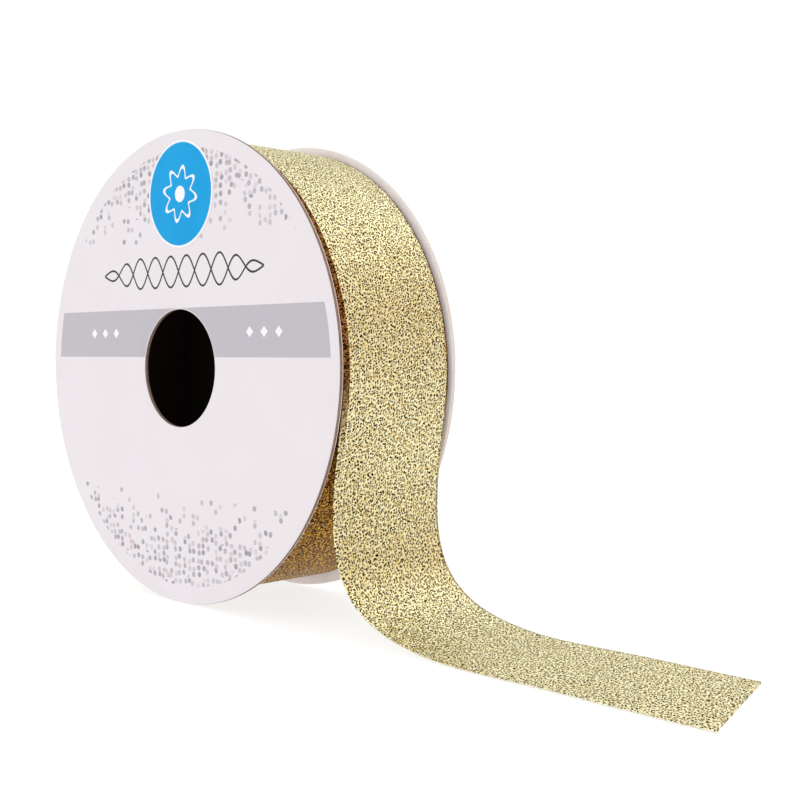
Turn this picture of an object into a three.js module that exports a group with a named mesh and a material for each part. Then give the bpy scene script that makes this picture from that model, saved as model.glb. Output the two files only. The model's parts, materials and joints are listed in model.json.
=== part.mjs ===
import * as THREE from 'three';

// A ribbon spool: two printed card discs on a hollow card core, wound with woven ribbon.
// The spool stands on its rims, and the ribbon's free end runs off onto the table.
// Millimetres, +Z up. The spool's axis runs along Y, the front disc faces -Y and the
// free end lies towards +X. The origin is on the table, at the middle of the whole box.

// Discs: a board with a printed paper outside and a plain paper inside
const discRadius = 38.1;
const pegHoleRadius = 9.5;
const boardThickness = 0.5;
const paperThickness = 0.1;
const paperMargin = 0.25; // the papers stop this far short of the board's edges
const discSides = 72; // a multiple of 4, so that a flat of the rim faces straight down

// Ribbon
const ribbonWidth = 22;
const ribbonThickness = 0.35;
const sideClearance = 0.45; // between the ribbon's edge and the disc beside it
const rimDepth = 2.1; // how far the discs stand out past the tight winding
const windingCount = 11;
const windingPitch = 0.4; // from one turn to the next

// Core
const coreWall = 1.2;
const coreClearance = 0.3; // between the core and the first turn, where the tape lies

// Start tape, which holds the ribbon's inner end to the core
const tapeThickness = 0.1;
const tapeWidth = 12;
const tapeLift = 0.06; // clear of the core's face
const tapeFacets = 8; // of the core's sides, that the tape reaches over

// Loose outer turn
const looseClearance = 0.3; // from the tight winding to the loose turn's inner end
const looseSwell = 1.4; // how much its radius grows once it lifts off the winding
const looseStart = THREE.MathUtils.degToRad(346); // measured from +X, and it runs to 0
const liftOff = THREE.MathUtils.degToRad(100); // where it starts to lift
const liftPower = 1.5;
const looseSteps = 68;
const jointGap = 0.3; // between the loose turn and the tail, which are one strip of ribbon

// Tail: down past a waist beside the winding, then out along the table
const waistPull = 2; // how far the waist is drawn in from the loose turn's radius
const waistHeight = 18.4;
const waistReachAbove = 7; // how long the path keeps upright there, above and below
const waistReachBelow = 11;
const landingOut = 24; // from the loose turn's radius to where the tail lies flat
const landingReach = 21.5;
const tailOnTable = 34.8; // the straight run after that, along its front edge
const tailSlant = 6; // the cut end's rear corner lies this much nearer
const tailSteps = 22;

// Round sticker on the front label
const stickerRadius = 8.6;
const stickerThickness = 0.08;
const stickerRim = 1.3; // from the label's edge to the sticker's
const stickerShift = 0.55; // it was stuck on a little to the right of the middle
const stickerSides = 48;

// What follows from these sizes. Places along Y are measured from the ribbon's middle.
const sideAngle = (2 * Math.PI) / discSides;
const discFlat = discRadius * Math.cos(sideAngle / 2); // from the axis to a flat of the rim
const windingRadius = discRadius - rimDepth;
const windingInside = windingRadius - windingCount * windingPitch;
const coreRadius = windingInside - coreClearance;
const linerInside = ribbonWidth / 2 + sideClearance;
const boardInside = linerInside + paperThickness;
const boardOutside = boardInside + boardThickness;
const labelOutside = boardOutside + paperThickness;
const paperRadius = discRadius - paperMargin;
const paperHoleRadius = pegHoleRadius + paperMargin;
const looseStartRadius = windingRadius + looseClearance + ribbonThickness / 2;
const looseRadius = looseStartRadius + looseSwell;
const landingX = looseRadius + landingOut;
const tailEndX = landingX + tailOnTable;
const tableZ = -discFlat; // seen from the axis

const printedPaper = new THREE.MeshStandardMaterial({ color: '#ede7eb', roughness: 0.45, metalness: 0 });
const plainPaper = new THREE.MeshStandardMaterial({ color: '#ded4d3', roughness: 0.8, metalness: 0 });
const chipboard = new THREE.MeshStandardMaterial({ color: '#a88c7c', roughness: 0.9, metalness: 0 });
const coreBoard = new THREE.MeshStandardMaterial({ color: '#8a6a52', roughness: 0.9, metalness: 0 });
const tapePaper = new THREE.MeshStandardMaterial({ color: '#e6dcc0', roughness: 0.6, metalness: 0 });
const bluePaper = new THREE.MeshStandardMaterial({ color: '#1aa3e2', roughness: 0.35, metalness: 0 });
const goldRibbon = new THREE.MeshStandardMaterial({ color: '#d9c694', roughness: 0.4, metalness: 0.6 });

// A ring about the Y axis, between two radii and two places along the axis.
function ring(name, material, insideRadius, outsideRadius, lowY, highY) {
  const profile = [
    new THREE.Vector2(insideRadius, lowY),
    new THREE.Vector2(outsideRadius, lowY),
    new THREE.Vector2(outsideRadius, highY),
    new THREE.Vector2(insideRadius, highY),
    new THREE.Vector2(insideRadius, lowY),
  ];
  const geometry = new THREE.LatheGeometry(profile, discSides, sideAngle / 2);
  return named(new THREE.Mesh(geometry, material), name);
}

// A strip that stands on edge along a path in the XZ plane, centred on Y = 0.
function strip(name, material, path, thickness, width) {
  const outer = [];
  const inner = [];
  path.forEach((point, index) => {
    const before = path[Math.max(index - 1, 0)];
    const after = path[Math.min(index + 1, path.length - 1)];
    const along = after.clone().sub(before).normalize();
    const offset = new THREE.Vector2(-along.y, along.x).multiplyScalar(thickness / 2);
    outer.push(point.clone().add(offset));
    inner.unshift(point.clone().sub(offset));
  });
  const outline = new THREE.Shape([...outer, ...inner]);
  const geometry = new THREE.ExtrudeGeometry(outline, { depth: width, bevelEnabled: false });
  geometry.rotateX(Math.PI / 2); // the outline's height becomes Z
  geometry.translate(0, width / 2, 0);
  return named(new THREE.Mesh(geometry, material), name);
}

function named(mesh, name) {
  mesh.name = name;
  return mesh;
}

// One disc: the inner paper, the board and the outer paper, on the side given by -1 or 1.
function disc(end, side) {
  const layer = (name, material, near, far, hole, radius) =>
    ring(name, material, hole, radius, Math.min(side * near, side * far), Math.max(side * near, side * far));
  return [
    layer(`${end}_liner`, plainPaper, linerInside, boardInside, paperHoleRadius, paperRadius),
    layer(`${end}_board`, chipboard, boardInside, boardOutside, pegHoleRadius, discRadius),
    layer(`${end}_label`, printedPaper, boardOutside, labelOutside, paperHoleRadius, paperRadius),
  ];
}

function core() {
  return ring('core_tube', coreBoard, coreRadius - coreWall, coreRadius, -linerInside, linerInside);
}

// The tape's ends fall on the core's own corners, so that it follows the core's facets.
function startTape() {
  const radius = coreRadius + tapeLift + tapeThickness / 2;
  const path = [];
  for (let facet = 0; facet <= tapeFacets; facet += 1) {
    path.push(onCircle(radius, (facet + 0.5) * sideAngle));
  }
  return strip('start_tape', tapePaper, path, tapeThickness, tapeWidth);
}

function winding() {
  const half = ribbonWidth / 2;
  return ring('ribbon_winding', goldRibbon, windingInside, windingRadius, -half, half);
}

function onCircle(radius, angle) {
  return new THREE.Vector2(radius * Math.cos(angle), radius * Math.sin(angle));
}

// The loose turn runs backwards round from its start to 0, and its radius grows past liftOff.
function looseTurn() {
  const path = [];
  const stop = jointGap / looseRadius;
  for (let step = 0; step <= looseSteps; step += 1) {
    const angle = looseStart + ((stop - looseStart) * step) / looseSteps;
    const swell = looseSwell * (1 - Math.min(angle / liftOff, 1) ** liftPower);
    path.push(onCircle(looseStartRadius + swell, angle));
  }
  return strip('ribbon_loose_turn', goldRibbon, path, ribbonThickness, ribbonWidth);
}

// The tail starts where the loose turn ends, heading straight down.
function tail() {
  const onTable = tableZ + ribbonThickness / 2;
  const exit = new THREE.Vector2(looseRadius, 0);
  const waist = new THREE.Vector2(looseRadius - waistPull, tableZ + waistHeight);
  const landing = new THREE.Vector2(landingX, onTable);
  const drop = new THREE.CubicBezierCurve(
    exit,
    new THREE.Vector2(exit.x, exit.y - waistReachAbove),
    new THREE.Vector2(waist.x, waist.y + waistReachAbove),
    waist,
  );
  const sweep = new THREE.CubicBezierCurve(
    waist,
    new THREE.Vector2(waist.x, waist.y - waistReachBelow),
    new THREE.Vector2(landing.x - landingReach, landing.y),
    landing,
  );
  const path = [
    ...drop.getSpacedPoints(tailSteps / 2),
    ...sweep.getSpacedPoints(tailSteps).slice(1),
    new THREE.Vector2(tailEndX, onTable),
  ];
  const mesh = strip('ribbon_tail', goldRibbon, path, ribbonThickness, ribbonWidth);
  slantEnd(mesh.geometry.attributes.position);
  return mesh;
}

// Draws the cut end back towards its rear corner.
function slantEnd(position) {
  const endFrom = (landingX + tailEndX) / 2;
  for (let index = 0; index < position.count; index += 1) {
    if (position.getX(index) > endFrom) {
      const across = position.getY(index) / ribbonWidth + 0.5;
      position.setX(index, position.getX(index) - tailSlant * across);
    }
  }
}

function sticker() {
  const geometry = new THREE.CylinderGeometry(
    stickerRadius, stickerRadius, stickerThickness, stickerSides);
  const mesh = named(new THREE.Mesh(geometry, bluePaper), 'round_sticker');
  const centreHeight = paperRadius - stickerRim - stickerRadius;
  mesh.position.set(stickerShift, -labelOutside - stickerThickness / 2, centreHeight);
  return mesh;
}

const spool = new THREE.Group();
spool.add(...disc('front', -1), ...disc('rear', 1), core(), startTape(), winding(), sticker());

const freeRibbon = new THREE.Group();
freeRibbon.add(looseTurn(), tail());

const ribbonSpool = new THREE.Group();
ribbonSpool.add(spool, freeRibbon);
ribbonSpool.position.set((discFlat - tailEndX) / 2, stickerThickness / 2, discFlat);

export default ribbonSpool;
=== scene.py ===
import json
import math

import bpy
import numpy as np
from mathutils import Matrix, Vector


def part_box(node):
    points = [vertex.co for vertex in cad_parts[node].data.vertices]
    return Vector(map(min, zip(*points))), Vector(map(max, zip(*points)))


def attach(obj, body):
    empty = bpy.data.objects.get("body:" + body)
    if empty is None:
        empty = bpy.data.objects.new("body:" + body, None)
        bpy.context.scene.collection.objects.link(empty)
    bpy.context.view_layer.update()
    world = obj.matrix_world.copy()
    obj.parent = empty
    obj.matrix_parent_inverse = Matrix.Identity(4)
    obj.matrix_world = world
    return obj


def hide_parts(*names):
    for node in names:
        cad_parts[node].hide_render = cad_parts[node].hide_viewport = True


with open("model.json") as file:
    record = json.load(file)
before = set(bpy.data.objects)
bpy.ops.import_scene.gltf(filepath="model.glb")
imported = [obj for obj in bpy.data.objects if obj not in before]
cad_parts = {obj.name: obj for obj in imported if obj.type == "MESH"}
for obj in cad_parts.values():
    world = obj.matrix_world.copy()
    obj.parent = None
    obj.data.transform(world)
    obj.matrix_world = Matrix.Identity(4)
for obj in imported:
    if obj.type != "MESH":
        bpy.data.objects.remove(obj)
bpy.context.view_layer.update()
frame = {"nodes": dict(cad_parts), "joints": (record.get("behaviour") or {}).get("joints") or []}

# Places along X and Z are measured from the spool's axis. Lengths are in metres, but the weave and
# the label's print are worked out in mm.
axis = Vector(frame["joints"][0]["pos_m"])
mm = 0.001
tableDrop = axis.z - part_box("front_board")[0].z  # down to the table, which is the disc's radius too
print("frame loaded, disc radius", round(tableDrop / mm, 2), "mm")


class Wire:  # one output socket, which can be used in sums
    def __init__(self, paint, socket):
        self.paint = paint
        self.socket = socket

    def __add__(self, other):
        return self.paint.maths("ADD", self, other)

    def __radd__(self, other):
        return self.paint.maths("ADD", other, self)

    def __sub__(self, other):
        return self.paint.maths("SUBTRACT", self, other)

    def __rsub__(self, other):
        return self.paint.maths("SUBTRACT", other, self)

    def __mul__(self, other):
        return self.paint.maths("MULTIPLY", self, other)

    def __rmul__(self, other):
        return self.paint.maths("MULTIPLY", other, self)

    def __truediv__(self, other):
        return self.paint.maths("DIVIDE", self, other)

    def __abs__(self):
        return self.paint.maths("ABSOLUTE", self)


class Paint:  # a material in the making
    def __init__(self, name, **fixed):
        self.material = bpy.data.materials.new(name)
        self.material.use_nodes = True
        self.tree = self.material.node_tree
        self.shader = self.tree.nodes["Principled BSDF"]
        for socket, value in fixed.items():
            self.shader.inputs[socket.replace("_", " ")].default_value = value

    def node(self, kind, settings=None, inputs=None, output=0):
        made = self.tree.nodes.new(kind)
        for key, value in (settings or {}).items():
            setattr(made, key, value)
        for key, value in (inputs or {}).items():
            self.feed(made.inputs[key], value)
        return Wire(self, made.outputs[output])

    def feed(self, socket, value):
        if isinstance(value, Wire):
            self.tree.links.new(value.socket, socket)
        else:
            socket.default_value = value

    def out(self, **values):
        for socket, value in values.items():
            self.feed(self.shader.inputs[socket.replace("_", " ")], value)
        return self.material

    def maths(self, operation, *values):
        return self.node("ShaderNodeMath", {"operation": operation}, dict(enumerate(values)))

    def vectors(self, operation, *values):
        return self.node("ShaderNodeVectorMath", {"operation": operation}, dict(enumerate(values)))

    def mix(self, factor, first, second):
        inputs = {0: factor, 6: first, 7: second}
        return self.node("ShaderNodeMix", {"data_type": "RGBA"}, inputs, 2)

    def ramp(self, value, start, end, low=0.0, high=1.0):
        inputs = {0: value, 1: start, 2: end, 3: low, 4: high}
        return self.node("ShaderNodeMapRange", {"interpolation_type": "SMOOTHSTEP"}, inputs)

    def beyond(self, value, limit, soft):  # 1 where the value is above the limit
        return self.ramp(value, limit - soft, limit + soft)

    def within(self, value, limit, soft):  # 1 where it is below
        return self.ramp(value, limit - soft, limit + soft, 1.0, 0.0)

    def split(self, vector):
        first = self.node("ShaderNodeSeparateXYZ", inputs={0: vector})
        return [Wire(self, socket) for socket in first.socket.node.outputs]

    def join(self, x, y, z=0.0):
        return self.node("ShaderNodeCombineXYZ", inputs={0: x, 1: y, 2: z})

    def places(self):  # where a point of the piece is at rest, in metres
        return self.node("ShaderNodeTexCoord", output=3)

    def noise(self, vector, scale, detail=2.0):
        return self.node("ShaderNodeTexNoise", {}, {"Vector": vector, "Scale": scale, "Detail": detail})

    def spread(self, noise, low=0.0, high=1.0, reach=0.2):  # most of a noise is this near to 0.5
        return self.ramp(noise, 0.5 - reach, 0.5 + reach, low, high)

    def cells(self, vector, scatter, scale=1.0):  # how far the nearest cell's middle is, and its chances
        settings = {"voronoi_dimensions": "2D", "feature": "F1"}
        inputs = {"Vector": vector, "Scale": scale, "Randomness": scatter}
        distance = self.node("ShaderNodeTexVoronoi", settings, inputs)
        return distance, Wire(self, distance.socket.node.outputs[1])

    def bump(self, height, strength, distance, normal=None):
        inputs = {"Height": height, "Strength": strength, "Distance": distance}
        if normal is not None:
            inputs["Normal"] = normal
        return self.node("ShaderNodeBump", inputs=inputs)


def colour(red, green, blue):  # from the usual 0 to 255 values
    linear = []
    for value in (red, green, blue):
        share = value / 255
        linear.append(share / 12.92 if share <= 0.04045 else ((share + 0.055) / 1.055) ** 2.4)
    return (*linear, 1.0)


ribbonLook = {  # in mm, along and across the ribbon
    "rowPitch": 0.385,  # of the dark gaps, along the ribbon
    "threadPitch": 0.47,  # and across it
    "rowShift": 0.5,  # each column of gaps lies this much of a row further on
    "scatter": 0.78,  # how unevenly the gaps lie
    "gapReach": 0.30,  # in gap pitches
    "gapSpread": 0.08,  # how much the gaps differ in size
    "gapSoft": 0.035,
    "gapFaint": 0.35,  # how dark the faintest gaps are
    "faintShare": 0.3,  # of all the gaps
    "flakeLong": 0.16,  # the glittering facets of the threads
    "flakeWide": 0.19,
    "glitter": 0.6,  # how far the facets tilt
    "waver": 0.9,  # how far the rows wander
    "waverGrain": 0.5,
    "toneSteps": (0.05, 0.5, 0.95),  # the chances of a facet that is dull, middle and bright
    "paintedShadeEase": 30.0,  # the painted shade of deeper gold fades out over this length
    "frontShadeWidth": 0.9,  # how far in from the ribbon's edge the edges are darkened with painted shade
    "rearShadeWidth": 0.5,
    "edgeShadeSoft": 0.15,
    "edgeShadeEase": 16.0,  # the painted shade on the edges fades over this length
    "rearFade": 0.6,  # and the rear one only this far
    # painted shade along the edges, where the discs shade the ribbon, speckled dark to light brown
    "edgeShadeDark": colour(46, 15, 0),
    "edgeShadeLight": colour(168, 116, 66),
    "edgeShadeSteps": (0.4, 0.85),
    "paleEdgeLine": colour(234, 224, 212),  # a pale line painted along the front edge, seen on the tail only
    "paleLineWidth": 0.2,
    "paleLineFrom": 30.0,  # past where the painted edge shade starts to fade
    "paleLineEase": 12.0,
    "metal": 0.85,
    "rough": 0.26,
    "flakeRough": 0.12,  # what is added in some facets
    "gapRough": 0.25,  # and in the gaps
    "relief": 0.05 * mm,
    "reliefStrength": 0.4,
}
looseTones = {
    "bright": colour(255, 254, 220),
    "middle": colour(253, 243, 190),
    "dull": colour(224, 200, 138),
    "gap": colour(36, 16, 0),
    "grazing": (1.0, 0.98, 0.86, 1.0),  # what the threads mirror at a low angle
}
# Painted shade: a darker, redder copy of the gold, for the ribbon where it lies between the discs; its
# dim grazing tint is painted shade too
shadedTones = {
    "bright": colour(250, 196, 84),
    "middle": colour(142, 80, 4),
    "dull": colour(54, 20, 0),
    "gap": colour(30, 8, 0),
    "grazing": (0.4, 0.24, 0.1, 1.0),
}


def weaveGold(name, halfWidth, paintedShadeTo, tailFrom, grazing):
    # Up to the first given length the ribbon gets a deeper gold as painted shade, and its edges get
    # painted shade that ends past tailFrom, in mm along it
    look = ribbonLook
    paint = Paint(name, Specular_IOR_Level=0.0, Specular_Tint=grazing)
    along, across, _ = paint.split(paint.node("ShaderNodeUVMap", {"uv_map": "weave"}))
    waver = (paint.noise(paint.join(along, across), look["waverGrain"]) - 0.5) * look["waver"]
    threads = (across + waver) / look["threadPitch"]
    rows = (along + waver) / look["rowPitch"] + threads * look["rowShift"]
    reach, chances = paint.cells(paint.join(rows, threads), look["scatter"])
    size, depth, _ = paint.split(chances)
    gap = paint.within(reach - size * look["gapSpread"], look["gapReach"], look["gapSoft"])
    gap = gap * paint.ramp(depth, 0.0, look["faintShare"], look["gapFaint"], 1.0)
    spots = paint.join(along / look["flakeLong"], across / look["flakeWide"])
    _, flakes = paint.cells(spots, 1.0)
    first, second, _ = paint.split(flakes)
    dullAt, middleAt, brightAt = look["toneSteps"]
    bodies = []
    # the copy with painted shade first, then the lit gold
    for tones in (shadedTones, looseTones):
        tone = paint.mix(paint.ramp(first, dullAt, middleAt), tones["dull"], tones["middle"])
        tone = paint.mix(paint.ramp(first, middleAt, brightAt), tone, tones["bright"])
        bodies.append(paint.mix(gap, tone, tones["gap"]))
    # painted shade: the deeper gold fades into the lit gold along the ribbon
    body = paint.mix(paint.ramp(along, paintedShadeTo, paintedShadeTo + look["paintedShadeEase"]), *bodies)
    # painted shade along both edges, which fades out once the ribbon is clear of the discs
    tail = paint.ramp(along, tailFrom, tailFrom + look["edgeShadeEase"])
    frontFrom = halfWidth - look["frontShadeWidth"]
    rearFrom = halfWidth - look["rearShadeWidth"]
    front = paint.ramp(0.0 - across, frontFrom - look["edgeShadeSoft"], frontFrom) * (1.0 - tail)
    rear = paint.ramp(across, rearFrom - look["edgeShadeSoft"], rearFrom) * (1.0 - tail * look["rearFade"])
    edgeShade = paint.maths("MAXIMUM", front, rear)
    edgeShadeTone = paint.mix(paint.ramp(second, *look["edgeShadeSteps"]), look["edgeShadeDark"], look["edgeShadeLight"])
    body = paint.mix(edgeShade, body, edgeShadeTone)
    # a pale line painted along the front edge of the tail
    paleLineFrom = tailFrom + look["paleLineFrom"]
    paleEdgeLine = paint.ramp(0.0 - across, halfWidth - look["paleLineWidth"], halfWidth)
    paleEdgeLine = paleEdgeLine * paint.ramp(along, paleLineFrom, paleLineFrom + look["paleLineEase"])
    body = paint.mix(paleEdgeLine, body, look["paleEdgeLine"])
    tilt = paint.vectors("SUBTRACT", flakes, (0.5, 0.5, 0.5))
    lean = paint.vectors("MULTIPLY", tilt, (look["glitter"],) * 3)
    facing = paint.node("ShaderNodeNewGeometry", output=1)
    facet = paint.vectors("NORMALIZE", paint.vectors("ADD", facing, lean))
    return paint.out(
        Base_Color=body,
        Metallic=paint.ramp(gap + edgeShade, 0.0, 1.0, look["metal"], 0.0),
        Roughness=look["rough"] + first * look["flakeRough"] + gap * look["gapRough"],
        Normal=paint.bump(reach, look["reliefStrength"], look["relief"], facet),
    )


labelLook = {  # in mm, from the axis
    "paper": colour(227, 221, 225),
    "worn": colour(224, 217, 221),
    "mostWorn": 0.5,
    "cloudGrain": 90.0,
    "fibreGrain": 2600.0,
    "rough": (0.42, 0.5),
    "coat": 0.08,
    "coatRough": 0.25,
    "relief": 0.02 * mm,
    "reliefStrength": 0.08,
    "band": colour(182, 179, 186),
    "bandMiddle": 5.75,
    "bandHalf": 3.95,
    "bandEnd": 36.2,
    "bandSlope": 0.004,
    "holeRim": 9.68,
    "lineSoft": 0.03,
    "dotCell": 1.2,
    "dotScatter": 0.7,
    "dotRadius": 0.44,
    "dotLimit": 35.3,
    "dotChord": 20.6,  # the dots start this far above and below the axis
    "dotThick": 30.0,
    "dotShares": (0.15, 0.72),  # of the cells that hold a dot, at the chord and where they are thickest
    "dotRimShare": 0.22,  # what the rim adds to that
    "dotSoft": 0.05,
    "lightDot": colour(212, 206, 211),
    "darkDot": colour(150, 146, 153),
    "pinkDot": colour(210, 188, 194),
    "pinkFrom": 0.93,
}


def confetti(paint, x, z, radius, paper):  # dots, thickest towards the rim
    look = labelLook
    distance, chances = paint.cells(paint.join(x, z), look["dotScatter"], 1 / look["dotCell"])
    place, shade, hue = paint.split(chances)
    wanted = paint.ramp(abs(z), look["dotChord"], look["dotThick"], *look["dotShares"])
    wanted = wanted + paint.ramp(radius, look["dotThick"], look["dotLimit"], 0.0, look["dotRimShare"])
    above = paint.beyond(abs(z), look["dotChord"], look["dotSoft"])
    inside = paint.within(radius, look["dotLimit"], look["dotSoft"])
    there = paint.maths("LESS_THAN", place, wanted) * above * inside
    dot = paint.within(distance * look["dotCell"], look["dotRadius"], look["dotSoft"]) * there
    tone = paint.mix(shade, look["lightDot"], look["darkDot"])
    tone = paint.mix(paint.maths("GREATER_THAN", hue, look["pinkFrom"]), tone, look["pinkDot"])
    return paint.mix(dot, paper, tone)


ornamentLook = {
    "ink": colour(22, 20, 24),
    "height": 15.6,  # of the waves above the axis, mm
    "reach": 21.5,
    "swing": 2.5,
    "wave": 8.6,
    "line": 0.17,
    "fadeFrom": 0.5,  # the waves get lower from here on, as a share of their reach
    "fadeTo": 0.25,
    "pale": colour(240, 236, 240),
    "diamond": 0.85,
    "diamondPitch": 3.4,
    "diamondMiddle": 21.5,
    "diamondReach": 5.2,
    "diamondSoft": 0.04,
}


def ornament(paint, x, z, paper):  # two crossing waves, and a row of diamonds on each side of the band
    look = ornamentLook
    soft = labelLook["lineSoft"]
    perMm = 2 * math.pi / look["wave"]
    fade = paint.ramp(abs(x), look["reach"] * look["fadeFrom"], look["reach"], 1.0, look["fadeTo"])
    for turn in (0.0, math.pi):
        sine = paint.maths("SINE", x * perMm + turn)
        slope = paint.maths("COSINE", x * perMm + turn)
        off = abs(z - look["height"] - sine * fade * look["swing"])
        steep = slope * fade * (look["swing"] * perMm)
        off = off / paint.maths("SQRT", 1.0 + steep * steep)
        line = paint.within(off, look["line"], soft) * paint.within(abs(x), look["reach"], soft)
        paper = paint.mix(line, paper, look["ink"])
    side = abs(x) - look["diamondMiddle"]
    nearest = paint.maths("PINGPONG", side, look["diamondPitch"] / 2)
    size = nearest + abs(z - labelLook["bandMiddle"])
    diamond = paint.within(size, look["diamond"], look["diamondSoft"])
    diamond = diamond * paint.within(abs(side), look["diamondReach"], look["diamondSoft"])
    return paint.mix(diamond, paper, look["pale"])


def printedLabel(withPrint):
    look = labelLook
    paint = Paint("printedLabel" if withPrint else "plainLabel", Coat_Roughness=look["coatRough"])
    spot = paint.vectors("SUBTRACT", paint.places(), tuple(axis))
    x, _, z = paint.split(paint.vectors("MULTIPLY", spot, (1 / mm,) * 3))
    fibres = paint.noise(paint.places(), look["fibreGrain"], 3.0)
    cloud = paint.noise(paint.places(), look["cloudGrain"])
    paper = paint.mix(paint.spread(cloud, 0.0, look["mostWorn"]), look["paper"], look["worn"])
    if withPrint:
        radius = paint.maths("SQRT", x * x + z * z)
        paper = confetti(paint, x, z, radius, paper)
        tilted = z - look["bandMiddle"] - x * look["bandSlope"]
        band = paint.within(abs(tilted), look["bandHalf"], look["lineSoft"])
        band = band * paint.within(radius, look["bandEnd"], look["lineSoft"])
        band = band * paint.beyond(radius, look["holeRim"], look["lineSoft"])
        paper = paint.mix(band, paper, look["band"])
        paper = ornament(paint, x, z, paper)
    return paint.out(
        Base_Color=paper,
        Roughness=paint.spread(cloud, *look["rough"]),
        Coat_Weight=look["coat"],
        Normal=paint.bump(fibres, look["reliefStrength"], look["relief"]),
    )


linerLook = {
    "pale": colour(246, 238, 236),
    "paleShade": colour(238, 229, 226),
    "drumShade": colour(44, 38, 30),  # painted shade inside the drum, where only the holes let light in
    "drumShadeFibre": colour(62, 54, 42),
    "drumShadePast": 0.8 * mm,  # the painted shade ends this far past the drum's inside
    "drumShadeSoft": 0.2 * mm,
    "cloudGrain": 260.0,
    "fibreGrain": 2200.0,
    "rough": (0.7, 0.85),
    "relief": 0.04 * mm,
    "reliefStrength": 0.2,
}


def linerPaper(drumRadius):
    look = linerLook
    paint = Paint("linerPaper")
    x, _, z = paint.split(paint.vectors("SUBTRACT", paint.places(), tuple(axis)))
    radius = paint.maths("SQRT", x * x + z * z)
    cloud = paint.noise(paint.places(), look["cloudGrain"], 4.0)
    fibres = paint.noise(paint.places(), look["fibreGrain"], 3.0)
    pale = paint.mix(paint.spread(cloud), look["pale"], look["paleShade"])
    # painted shade inside the drum, on the pale liner
    drumShade = paint.mix(fibres, look["drumShade"], look["drumShadeFibre"])
    inDrum = paint.within(radius, drumRadius + look["drumShadePast"], look["drumShadeSoft"])
    return paint.out(
        Base_Color=paint.mix(inDrum, pale, drumShade),
        Roughness=paint.spread(cloud, *look["rough"], 0.3),
        Normal=paint.bump(fibres, look["reliefStrength"], look["relief"]),
    )


boardLook = {
    "plyStretch": 7.0,  # the plies run round the edge
    "plyGrain": 1100.0,
    "plySteps": (0.3, 0.72),
    "fleckGrain": 3000.0,
    "fleckSteps": (0.62, 0.7),
    "fleckMost": 0.5,
    "rough": (0.8, 0.95),
    "relief": 0.08 * mm,
    "reliefStrength": 0.5,
}
boardTones = {  # the light plies, the dark ones, and the flecks
    "boardFibre": (colour(160, 134, 118), colour(122, 100, 90), colour(88, 68, 58)),
    # the rear disc's board, painted paler than the front's as painted light on its rim
    "litPaleBoard": (colour(234, 224, 219), colour(222, 211, 205), colour(196, 180, 172)),
    # kraft brown darkened as painted shade, since the core is seen only inside the unlit drum
    "shadedDrumBoard": (colour(60, 34, 22), colour(38, 22, 16), colour(30, 18, 12)),
}


def boardFibre(name):
    look = boardLook
    light, dark, fleck = boardTones[name]
    paint = Paint(name)
    stretched = paint.vectors("MULTIPLY", paint.places(), (1.0, look["plyStretch"], 1.0))
    plies = paint.noise(stretched, look["plyGrain"], 4.0)
    flecks = paint.noise(paint.places(), look["fleckGrain"])
    body = paint.mix(paint.ramp(plies, *look["plySteps"]), dark, light)
    body = paint.mix(paint.ramp(flecks, *look["fleckSteps"], 0.0, look["fleckMost"]), body, fleck)
    return paint.out(
        Base_Color=body,
        Roughness=paint.spread(plies, *look["rough"], 0.3),
        Normal=paint.bump(plies, look["reliefStrength"], look["relief"]),
    )


stickerLook = {
    "blue": colour(6, 158, 220),
    "deepBlue": colour(2, 152, 214),
    "white": colour(240, 239, 242),
    "petals": 8.0,
    "petalReach": 3.6 * mm,
    "petalSwing": 0.75 * mm,
    "petalLine": 0.07,  # as a share of the petals' reach
    "petalSoft": 0.015,
    "heart": 1.3 * mm,
    "heartSoft": 0.05 * mm,
    "rim": 0.38 * mm,
    "rimSoft": 0.04 * mm,
    "cloudGrain": 140.0,
    "fibreGrain": 1800.0,
    "shine": 0.12,
    "rough": (0.28, 0.34),
    "relief": 0.02 * mm,
    "reliefStrength": 0.05,
}


def stickerPaper(centre, radius):  # a flower and a white rim on blue
    look = stickerLook
    paint = Paint("stickerPaper", Specular_IOR_Level=look["shine"])
    x, _, z = paint.split(paint.vectors("SUBTRACT", paint.places(), tuple(centre)))
    out = paint.maths("SQRT", x * x + z * z)
    turn = paint.maths("ARCTAN2", z, x)
    cloud = paint.noise(paint.places(), look["cloudGrain"])
    blue = paint.mix(paint.spread(cloud), look["blue"], look["deepBlue"])
    swing = paint.maths("COSINE", turn * look["petals"] + math.pi / 2) * look["petalSwing"]
    petals = out / (look["petalReach"] + swing)
    ring = paint.within(abs(petals - 1.0), look["petalLine"], look["petalSoft"])
    heart = paint.within(out, look["heart"], look["heartSoft"])
    rim = paint.beyond(out, radius - look["rim"], look["rimSoft"])
    marks = paint.maths("MAXIMUM", paint.maths("MAXIMUM", ring, heart), rim)
    fibres = paint.noise(paint.places(), look["fibreGrain"])
    return paint.out(
        Base_Color=paint.mix(marks, blue, look["white"]),
        Roughness=paint.spread(cloud, *look["rough"]),
        Normal=paint.bump(fibres, look["reliefStrength"], look["relief"]),
    )


tapeLook = {
    "shade": colour(222, 206, 170),
    "light": colour(236, 224, 196),
    "fibreGrain": 1500.0,
    "rough": (0.5, 0.65),
    "relief": 0.03 * mm,
    "reliefStrength": 0.2,
}


def tapePaper():
    look = tapeLook
    paint = Paint("tapePaper")
    fibres = paint.noise(paint.places(), look["fibreGrain"], 4.0)
    return paint.out(
        Base_Color=paint.mix(fibres, look["shade"], look["light"]),
        Roughness=paint.spread(fibres, *look["rough"], 0.3),
        Normal=paint.bump(fibres, look["reliefStrength"], look["relief"]),
    )


def link(name, data):
    made = bpy.data.objects.new(name, data)
    bpy.context.scene.collection.objects.link(made)
    return made


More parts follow.
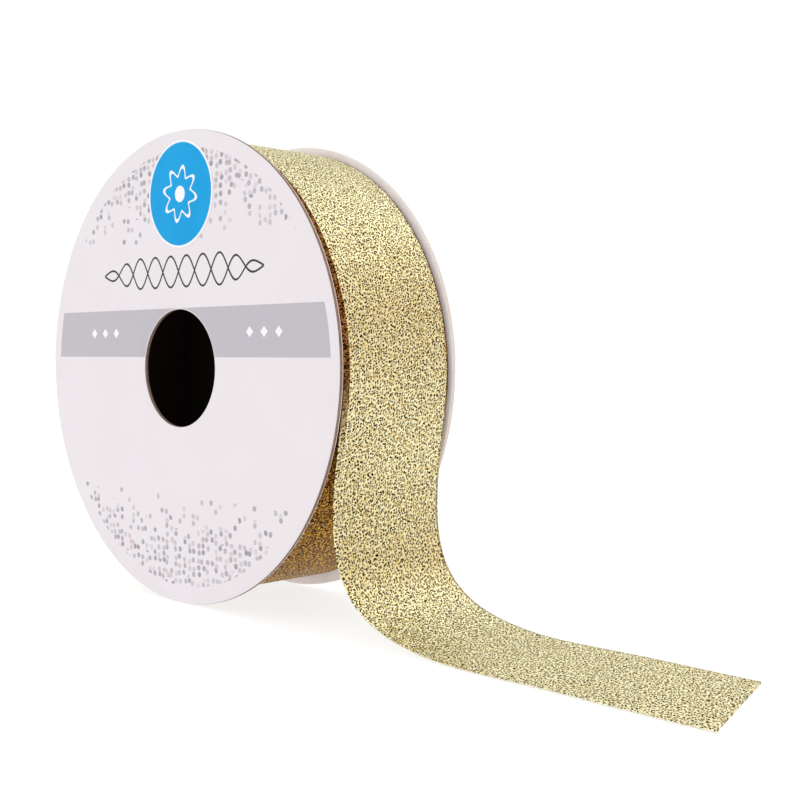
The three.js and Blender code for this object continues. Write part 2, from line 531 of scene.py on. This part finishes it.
def makePiece(name, points, faces, material, body, sharp=40.0):
    mesh = bpy.data.meshes.new(name)
    mesh.from_pydata(points.tolist(), [], faces)
    mesh.validate()
    mesh.shade_smooth()
    mesh.set_sharp_from_angle(angle=math.radians(sharp))
    mesh.materials.append(material)
    piece = link(name, mesh)
    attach(piece, body)
    return piece


def gridFaces(rows, columns, wrapRows, wrapColumns):
    faces = []
    for row in range(rows if wrapRows else rows - 1):
        nextRow = (row + 1) % rows
        for column in range(columns if wrapColumns else columns - 1):
            nextColumn = (column + 1) % columns
            faces.append((row * columns + column, row * columns + nextColumn,
                          nextRow * columns + nextColumn, nextRow * columns + column))
    return faces


def roundedRing(inner, outer, low, high, soft, steps):
    # Radii and heights round the section of a ring whose corners are softened
    cut = soft * 0.3  # where the middle of a softened corner stands
    radii = np.linspace(inner + soft, outer - soft, steps)
    section = [(radius, low) for radius in radii]
    section += [(outer - cut, low + cut), (outer, low + soft)]
    section += [(outer, high - soft), (outer - cut, high - cut)]
    section += [(radius, high) for radius in radii[::-1]]
    section += [(inner + cut, high - cut), (inner, high - soft)]
    section += [(inner, low + soft), (inner + cut, low + cut)]
    return np.array(section)


def turned(section, sides, centre, bow):
    # Places a section of (radius, height) all round a centre; bow moves its points along the axis
    angle = np.arange(sides) * 2 * math.pi / sides
    x = centre.x + section[None, :, 0] * np.cos(angle)[:, None]
    z = centre.z + section[None, :, 0] * np.sin(angle)[:, None]
    y = section[None, :, 1] + bow(x - axis.x, z - axis.z)
    return np.stack([x, y, z], axis=-1).reshape(-1, 3)


def holeRadius(node):  # the clear radius of a ring node's hole
    points = np.array([vertex.co for vertex in frame["nodes"][node].data.vertices])
    return float(np.hypot(points[:, 0] - axis.x, points[:, 2] - axis.z).min())


discForm = {
    "sides": 288,
    "rings": 12,
    "flare": 0.10 * mm,  # how far the rim leans out past the core
    "wobble": 0.07 * mm,
    "flatTo": 30 * mm,
    "frontTurn": 0.4,  # which way round each disc's waves lie
    "rearTurn": 2.1,
    "paperInset": 0.04 * mm,  # the papers are cut almost flush with the board
    "linerSoft": 0.02 * mm,
    "boardSoft": 0.09 * mm,
    "labelSoft": 0.03 * mm,
}


def discBow(side, turn):
    # A card disc is flat where the core holds it, and waves a little at its rim
    def bow(x, z):
        radius = np.sqrt(x * x + z * z)
        angle = np.arctan2(z, x)
        share = np.clip((radius - discForm["flatTo"]) / (tableDrop - discForm["flatTo"]), 0, 1) ** 2
        wave = np.sin(2 * angle + turn) + 0.5 * np.sin(5 * angle + 2 * turn)
        return share * (side * discForm["flare"] + discForm["wobble"] * wave)

    return bow


def makeDisc(end, bow, labelPaint, linerPaint, boardPaint):
    form = discForm
    for layer, material in (("liner", linerPaint), ("board", boardPaint), ("label", labelPaint)):
        low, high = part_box(f"{end}_{layer}")
        inset = 0.0 if layer == "board" else form["paperInset"]
        hole = holeRadius(f"{end}_board") + inset
        section = roundedRing(hole, tableDrop - inset, low.y, high.y, form[f"{layer}Soft"], form["rings"])
        points = turned(section, form["sides"], axis, bow)
        faces = gridFaces(form["sides"], len(section), True, True)
        piece = makePiece(f"{end}_disc_{layer}", points, faces, material, "spool")
        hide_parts(f"{end}_{layer}")


coreForm = {"sides": 240, "rings": 5, "soft": 0.1 * mm}


def makeCore(material):
    form = coreForm
    low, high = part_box("core_tube")
    outer = (high.x - low.x) / 2
    section = roundedRing(holeRadius("core_tube"), outer, low.y, high.y, form["soft"], form["rings"])
    points = turned(section, form["sides"], axis, lambda x, z: 0 * x)
    faces = gridFaces(form["sides"], len(section), True, True)
    piece = makePiece("drum_core", points, faces, material, "spool")
    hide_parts("core_tube")


stickerForm = {
    "sides": 144,
    "rings": 14,
    "innerRing": 0.2 * mm,
    "soft": 0.4,  # how much of its thickness is rounded off at the edge
}


def makeSticker(bow):
    form = stickerForm
    low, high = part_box("round_sticker")
    centre = (low + high) / 2
    radius = (high.x - low.x) / 2
    soft = (high.y - low.y) * form["soft"]
    radii = np.linspace(form["innerRing"], radius - soft, form["rings"])
    section = [(r, high.y) for r in radii] + [(radius, high.y - soft), (radius, low.y + soft)]
    section += [(r, low.y) for r in radii[::-1]]
    count = len(section)
    points = turned(np.array(section), form["sides"], centre, bow)
    faces = gridFaces(form["sides"], count, True, False)
    faces.append([row * count for row in range(form["sides"])])
    faces.append([row * count + count - 1 for row in range(form["sides"])][::-1])
    piece = makePiece("blue_sticker", points, faces, stickerPaper(centre, radius), "spool")
    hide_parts("round_sticker")


ribbonForm = {
    "spread": [0.0, 0.15, 0.3, 0.45, 0.6, 0.75, 0.88, 0.95, 0.975, 0.992, 1.0],
    "edgeAt": [0.0, 0.94, 0.985, 1.0],  # places across it, as shares of its half width
    "halfThick": [0.13 * mm, 0.13 * mm, 0.12 * mm, 0.048 * mm],  # and half its thickness there
    "fineStep": 0.25 * mm,
    "coarseStep": 1.2 * mm,
    "serration": 0.05 * mm,
    "serratedFrom": 0.98,
    "cutEase": 4,  # a slanted cut is led into over this many times its slant
    "lie": 0.175 * mm,  # of its middle above what it lies on
}


def acrossPlaces(halfWidth):
    half = np.array(ribbonForm["spread"]) * halfWidth
    return np.concatenate([-half[:0:-1], half])


def ribbonMesh(name, stations, follow, halfWidth, material, body, drift, endCut=0.0, lift=None):
    # follow(distance) gives points in XZ from the axis and the outward normals there; drift moves
    # them along Y, and lift along the normals
    across = acrossPlaces(halfWidth)
    share = across / halfWidth
    ease = ribbonForm["cutEase"] * endCut
    late = np.clip((stations - stations[-1] + ease) / max(ease, 1e-9), 0, 1)
    distance = stations[:, None] - endCut * late[:, None] * (share[None, :] + 1) / 2
    points, normals = follow(distance)
    half = np.interp(abs(share), ribbonForm["edgeAt"], ribbonForm["halfThick"])
    tooth = np.where(np.arange(len(stations)) % 2 == 0, 0.0, ribbonForm["serration"])[:, None]
    serrated = np.sign(across) * (abs(share) > ribbonForm["serratedFrom"])
    y = across[None, :] - serrated[None, :] * tooth + drift(distance)
    rise = 0.0 if lift is None else lift(distance, share[None, :])
    sheets = []
    for face in (1, -1):
        offset = (face * half[None, :] + rise)[..., None]
        flat = points + normals * offset
        sheets.append(np.stack([axis.x + flat[..., 0], axis.y + y, axis.z + flat[..., 1]], axis=-1))
    loop = np.concatenate([sheets[0], sheets[1][:, ::-1]], axis=1)
    rows, columns = loop.shape[:2]
    faces = [face[::-1] for face in gridFaces(rows, columns, False, True)]
    for row, flip in ((0, False), (rows - 1, True)):
        first = row * columns
        last = first + columns - 1
        for index in range(len(across) - 1):
            cap = (first + index, first + index + 1, last - 1 - index, last - index)
            faces.append(cap[::-1] if flip else cap)
    piece = makePiece(name, loop.reshape(-1, 3), faces, material, body, 60.0)
    alongLoop = np.concatenate([distance, distance[:, ::-1]], axis=1) / mm
    level = y - y.mean(axis=1, keepdims=True)
    acrossLoop = np.concatenate([level, level[:, ::-1]], axis=1) / mm
    layer = piece.data.uv_layers.new(name="weave")
    corners = np.zeros(len(piece.data.loops), np.int32)
    piece.data.loops.foreach_get("vertex_index", corners)
    uv = np.stack([alongLoop.ravel()[corners], acrossLoop.ravel()[corners]], axis=-1)
    layer.data.foreach_set("uv", uv.astype(np.float32).ravel())
    return piece


def followLine(line):
    # Turns a dense line into a function of the distance along it
    gaps = np.linalg.norm(np.diff(line, axis=0), axis=1)
    run = np.concatenate([[0], np.cumsum(gaps)])
    tangent = np.gradient(line, run, axis=0)
    tangent /= np.linalg.norm(tangent, axis=1, keepdims=True)
    normal = np.stack([-tangent[:, 1], tangent[:, 0]], axis=-1)

    def follow(distance):
        point = np.stack([np.interp(distance, run, line[:, k]) for k in (0, 1)], axis=-1)
        facing = np.stack([np.interp(distance, run, normal[:, k]) for k in (0, 1)], axis=-1)
        facing /= np.linalg.norm(facing, axis=-1, keepdims=True)
        return point, facing

    return follow, float(run[-1])


def bezier(first, second, third, fourth, count):
    t = np.linspace(0, 1, count)[:, None]
    first, second, third, fourth = (np.array(point) for point in (first, second, third, fourth))
    return ((1 - t) ** 3 * first + 3 * (1 - t) ** 2 * t * second
            + 3 * (1 - t) * t**2 * third + t**3 * fourth)


looseForm = {
    "startAngle": math.radians(346),  # where the loose turn begins, on top of the winding
    "swell": 1.65 * mm,  # how far it has lifted off at the front of the spool
    "liftOff": math.radians(100),
    "liftPower": 1.5,
    "waistPull": 2 * mm,
    "waistHeight": 18.4 * mm,
    "reachAbove": 7 * mm,  # how long it keeps upright at the waist
    "reachBelow": 11 * mm,
    "landingOut": 24 * mm,
    "landingReach": 21.5 * mm,
    "slant": 6.0 * mm,  # of the cut end
    "turnSteps": 4000,
    "dropSteps": 600,
    "sweepSteps": 1200,
    "flatSteps": 400,
    "paintedShadeTo": 40.0,  # mm along it that get the winding's deeper gold as painted shade
}
looseSway = {
    "turnShift": 0.12 * mm,  # how far to the front the loose turn lies
    "tailShift": 0.9 * mm,  # and the end on the table
    "shiftLength": 50 * mm,
    "billow": 0.06 * mm,  # small waves, which die away towards both ends
    "billowFrom": 200 * mm,
    "billowEase": 60 * mm,
    "billowEnd": 20 * mm,
    "billowLength": 4.3 * mm,
    "billowAcross": 2.4,
    "droop": 0.25 * mm,  # its edges curl in once it has lifted, and not on the table
    "droopFrom": 0.86,
    "droopLength": 45 * mm,
    "droopEase": 20 * mm,
    "droopPast": 20 * mm,
    "droopFade": 30 * mm,
}


def looseLine():
    # Round the winding backwards from the start, down past the waist and out on the table
    form = looseForm
    thick = 2 * (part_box("ribbon_tail")[0].z + ribbonForm["lie"])
    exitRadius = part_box("ribbon_loose_turn")[1].x - axis.x - thick / 2
    angle = np.linspace(form["startAngle"], 0, form["turnSteps"])
    radius = exitRadius - form["swell"] * np.minimum(angle / form["liftOff"], 1) ** form["liftPower"]
    turn = np.stack([radius * np.cos(angle), radius * np.sin(angle)], axis=-1)
    onTable = -tableDrop + thick / 2
    waist = (exitRadius - form["waistPull"], form["waistHeight"] - tableDrop)
    landing = (exitRadius + form["landingOut"], onTable)
    drop = bezier((exitRadius, 0), (exitRadius, -form["reachAbove"]),
                  (waist[0], waist[1] + form["reachAbove"]), waist, form["dropSteps"])
    sweep = bezier(waist, (waist[0], waist[1] - form["reachBelow"]),
                   (landing[0] - form["landingReach"], onTable), landing, form["sweepSteps"])
    end = (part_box("ribbon_tail")[1].x - axis.x, onTable)
    flat = np.linspace(landing, end, form["flatSteps"])
    turnLength = float(np.linalg.norm(np.diff(turn, axis=0), axis=1).sum())
    return np.concatenate([turn, drop[1:], sweep[1:], flat[1:]]), turnLength


def makeLooseEnd(halfWidth):
    sway = looseSway
    line, turnLength = looseLine()
    follow, length = followLine(line)
    material = weaveGold("looseGold", halfWidth / mm, looseForm["paintedShadeTo"], turnLength / mm,
                         looseTones["grazing"])
    stations = np.arange(0, length, ribbonForm["fineStep"])
    stations = np.append(stations[:-1], length)

    def drift(distance):
        late = np.clip((distance - turnLength) / sway["shiftLength"], 0, 1)
        late = late * late * (3 - 2 * late)
        return -sway["turnShift"] - (sway["tailShift"] - sway["turnShift"]) * late

    def lift(distance, share):
        hang = np.clip((distance - sway["billowFrom"]) / sway["billowEase"], 0, 1)
        hang = hang * np.clip((length - distance) / sway["billowEnd"], 0, 1)
        waves = 1 + np.sin(distance / sway["billowLength"]) * np.cos(share * sway["billowAcross"])
        curl = np.clip((abs(share) - sway["droopFrom"]) / (1 - sway["droopFrom"]), 0, 1) ** 2
        lifted = np.clip((distance - turnLength + sway["droopLength"]) / sway["droopEase"], 0, 1)
        lifted *= np.clip((turnLength + sway["droopPast"] - distance) / sway["droopFade"], 0, 1)
        return sway["billow"] * hang * waves - sway["droop"] * curl * lifted

    piece = ribbonMesh("ribbon_loose_end", stations, follow, halfWidth, material, "free_ribbon",
                       drift, looseForm["slant"], lift)
    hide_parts("ribbon_loose_turn", "ribbon_tail")
    print("loose end", round(length / mm, 1), "mm long")


windingForm = {
    "turns": 11,
    "steps": 900,  # to a turn
    "endGap": math.radians(8),  # from the winding's outer end to the loose turn's start
    "fineTurns": 1.075,  # the outer turns that are seen from near
    "sway": 0.12 * mm,  # the turns don't lie quite edge over edge
    "swayLength": 61 * mm,
    "shift": 0.1 * mm,
}


def makeWinding(halfWidth):
    form = windingForm
    low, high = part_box("ribbon_winding")
    outer = (high.z - low.z) / 2
    count = form["turns"] * form["steps"]
    swept = np.linspace(0, form["turns"] * 2 * math.pi, count)
    inner = holeRadius("ribbon_winding")
    radius = np.linspace(inner + ribbonForm["lie"], outer - ribbonForm["lie"], count)
    angle = looseForm["startAngle"] - 2 * math.pi - form["endGap"] + swept[-1] - swept
    line = np.stack([radius * np.cos(angle), radius * np.sin(angle)], axis=-1)
    follow, length = followLine(line)
    allOfIt = 2 * length / mm
    # the whole winding gets the gold with painted shade
    material = weaveGold("shadedWoundGold", halfWidth / mm, allOfIt, allOfIt, shadedTones["grazing"])
    fineFrom = length - form["fineTurns"] * 2 * math.pi * outer
    stations = np.concatenate([np.arange(0, fineFrom, ribbonForm["coarseStep"]),
                               np.arange(fineFrom, length, ribbonForm["fineStep"])])

    def drift(distance):
        return form["sway"] * np.sin(distance / form["swayLength"]) - form["shift"]

    piece = ribbonMesh("wound_ribbon", stations, follow, halfWidth, material, "spool", drift)
    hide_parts("ribbon_winding")
    print("winding", round(length, 3), "m long")


frontBow = discBow(-1, discForm["frontTurn"])
rearBow = discBow(1, discForm["rearTurn"])
liner = linerPaper(holeRadius("core_tube"))
makeDisc("front", frontBow, printedLabel(True), liner, boardFibre("boardFibre"))
makeDisc("rear", rearBow, printedLabel(False), liner, boardFibre("litPaleBoard"))
makeCore(boardFibre("shadedDrumBoard"))
makeSticker(frontBow)
print("discs, core and sticker made")

ribbonLow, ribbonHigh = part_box("ribbon_winding")
ribbonHalf = (ribbonHigh.y - ribbonLow.y) / 2
makeWinding(ribbonHalf)
makeLooseEnd(ribbonHalf)
tapeNode = frame["nodes"]["start_tape"]
tapeNode.data.materials.clear()
tapeNode.data.materials.append(tapePaper())
print("ribbon and tape made")


stageLook = {
    "floorSize": 8.0,
    "floorColour": colour(137, 137, 137),
    "floorGlow": 0.8,
    "floorRough": 0.9,
    "worldStrength": 1.01,
    "cardEnds": ((1.2, 0.1), (0.45, 1.25)),
    "cardHigh": 1.3,
    "cardColour": colour(255, 228, 196),
    "cardGlow": 0.74,
    "sunPower": 0.35,
    "sunAngle": math.radians(70),
    "sunFrom": (-0.25, -0.45, 0.86),
    "softboxAt": (0.08, 0.75, 0.75),
    "softboxPower": 0.75,
    "softboxSize": 0.3,
}


def makePlane(name, corners, material):
    mesh = bpy.data.meshes.new(name)
    mesh.from_pydata(corners, [], [(0, 1, 2, 3)])
    mesh.materials.append(material)
    plane = link(name, mesh)
    return plane


def makeFloor():
    size = stageLook["floorSize"] / 2
    corners = [(-size, -size, 0), (size, -size, 0), (size, size, 0), (-size, size, 0)]
    paint = Paint("floorPaint", Roughness=stageLook["floorRough"], Base_Color=stageLook["floorColour"],
                  Emission_Color=(1, 1, 1, 1), Emission_Strength=stageLook["floorGlow"])
    makePlane("floor", corners, paint.material)


def makeCard():  # a warmer card on the right, seen only where the upright ribbon mirrors it
    low, high = stageLook["cardEnds"]
    height = stageLook["cardHigh"]
    corners = [(*low, 0), (*high, 0), (*high, height), (*low, height)]
    paint = Paint("cardPaint", Base_Color=(0, 0, 0, 1), Emission_Color=stageLook["cardColour"],
                  Emission_Strength=stageLook["cardGlow"])
    card = makePlane("card", corners, paint.material)
    card.visible_camera = False


def makeWorld():
    world = bpy.data.worlds.new("studio")
    world.use_nodes = True
    background = world.node_tree.nodes["Background"]
    background.inputs["Color"].default_value = (1, 1, 1, 1)
    background.inputs["Strength"].default_value = stageLook["worldStrength"]
    bpy.context.scene.world = world


def makeSun():
    data = bpy.data.lights.new("sky", "SUN")
    data.energy = stageLook["sunPower"]
    data.angle = stageLook["sunAngle"]
    sun = link("sky", data)
    sun.rotation_euler = (-Vector(stageLook["sunFrom"])).to_track_quat("-Z", "Y").to_euler()


def makeSoftbox():  # behind the spool, for the shine along its top
    data = bpy.data.lights.new("softbox", "AREA")
    data.energy = stageLook["softboxPower"]
    data.size = stageLook["softboxSize"]
    softbox = link("softbox", data)
    softbox.location = stageLook["softboxAt"]
    aim = Vector((axis.x, 0, axis.z)) - softbox.location
    softbox.rotation_euler = aim.to_track_quat("-Z", "Y").to_euler()


cameraShot = {
    "right": 160.66 * mm,  # from the axis, at the front label's face
    "front": 115.06 * mm,
    "up": 2.82 * mm,
    "yaw": math.radians(43.958),
    "pitch": math.radians(2.298),
    "roll": math.radians(0.248),
    "lens": 54.1,
    "nearest": 5 * mm,
}


def makeCamera():
    shot = cameraShot
    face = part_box("front_label")[0].y
    sight = Vector((-math.sin(shot["yaw"]) * math.cos(shot["pitch"]),
                    math.cos(shot["yaw"]) * math.cos(shot["pitch"]), -math.sin(shot["pitch"])))
    right = Vector((math.cos(shot["yaw"]), math.sin(shot["yaw"]), 0))
    up = right.cross(sight)
    across = right * math.cos(shot["roll"]) + up * math.sin(shot["roll"])
    upward = up * math.cos(shot["roll"]) - right * math.sin(shot["roll"])
    turn = Matrix((across, upward, -sight)).transposed()
    data = bpy.data.cameras.new("camera")
    data.lens = shot["lens"]
    data.clip_start = shot["nearest"]
    camera = link("camera", data)
    place = Vector((axis.x + shot["right"], face - shot["front"], axis.z + shot["up"]))
    camera.matrix_world = Matrix.Translation(place) @ turn.to_4x4()
    bpy.context.scene.camera = camera


makeFloor()
makeCard()
makeWorld()
makeSun()
makeSoftbox()
makeCamera()
bpy.context.scene.view_settings.view_transform = "Standard"
print("floor, light and camera made")
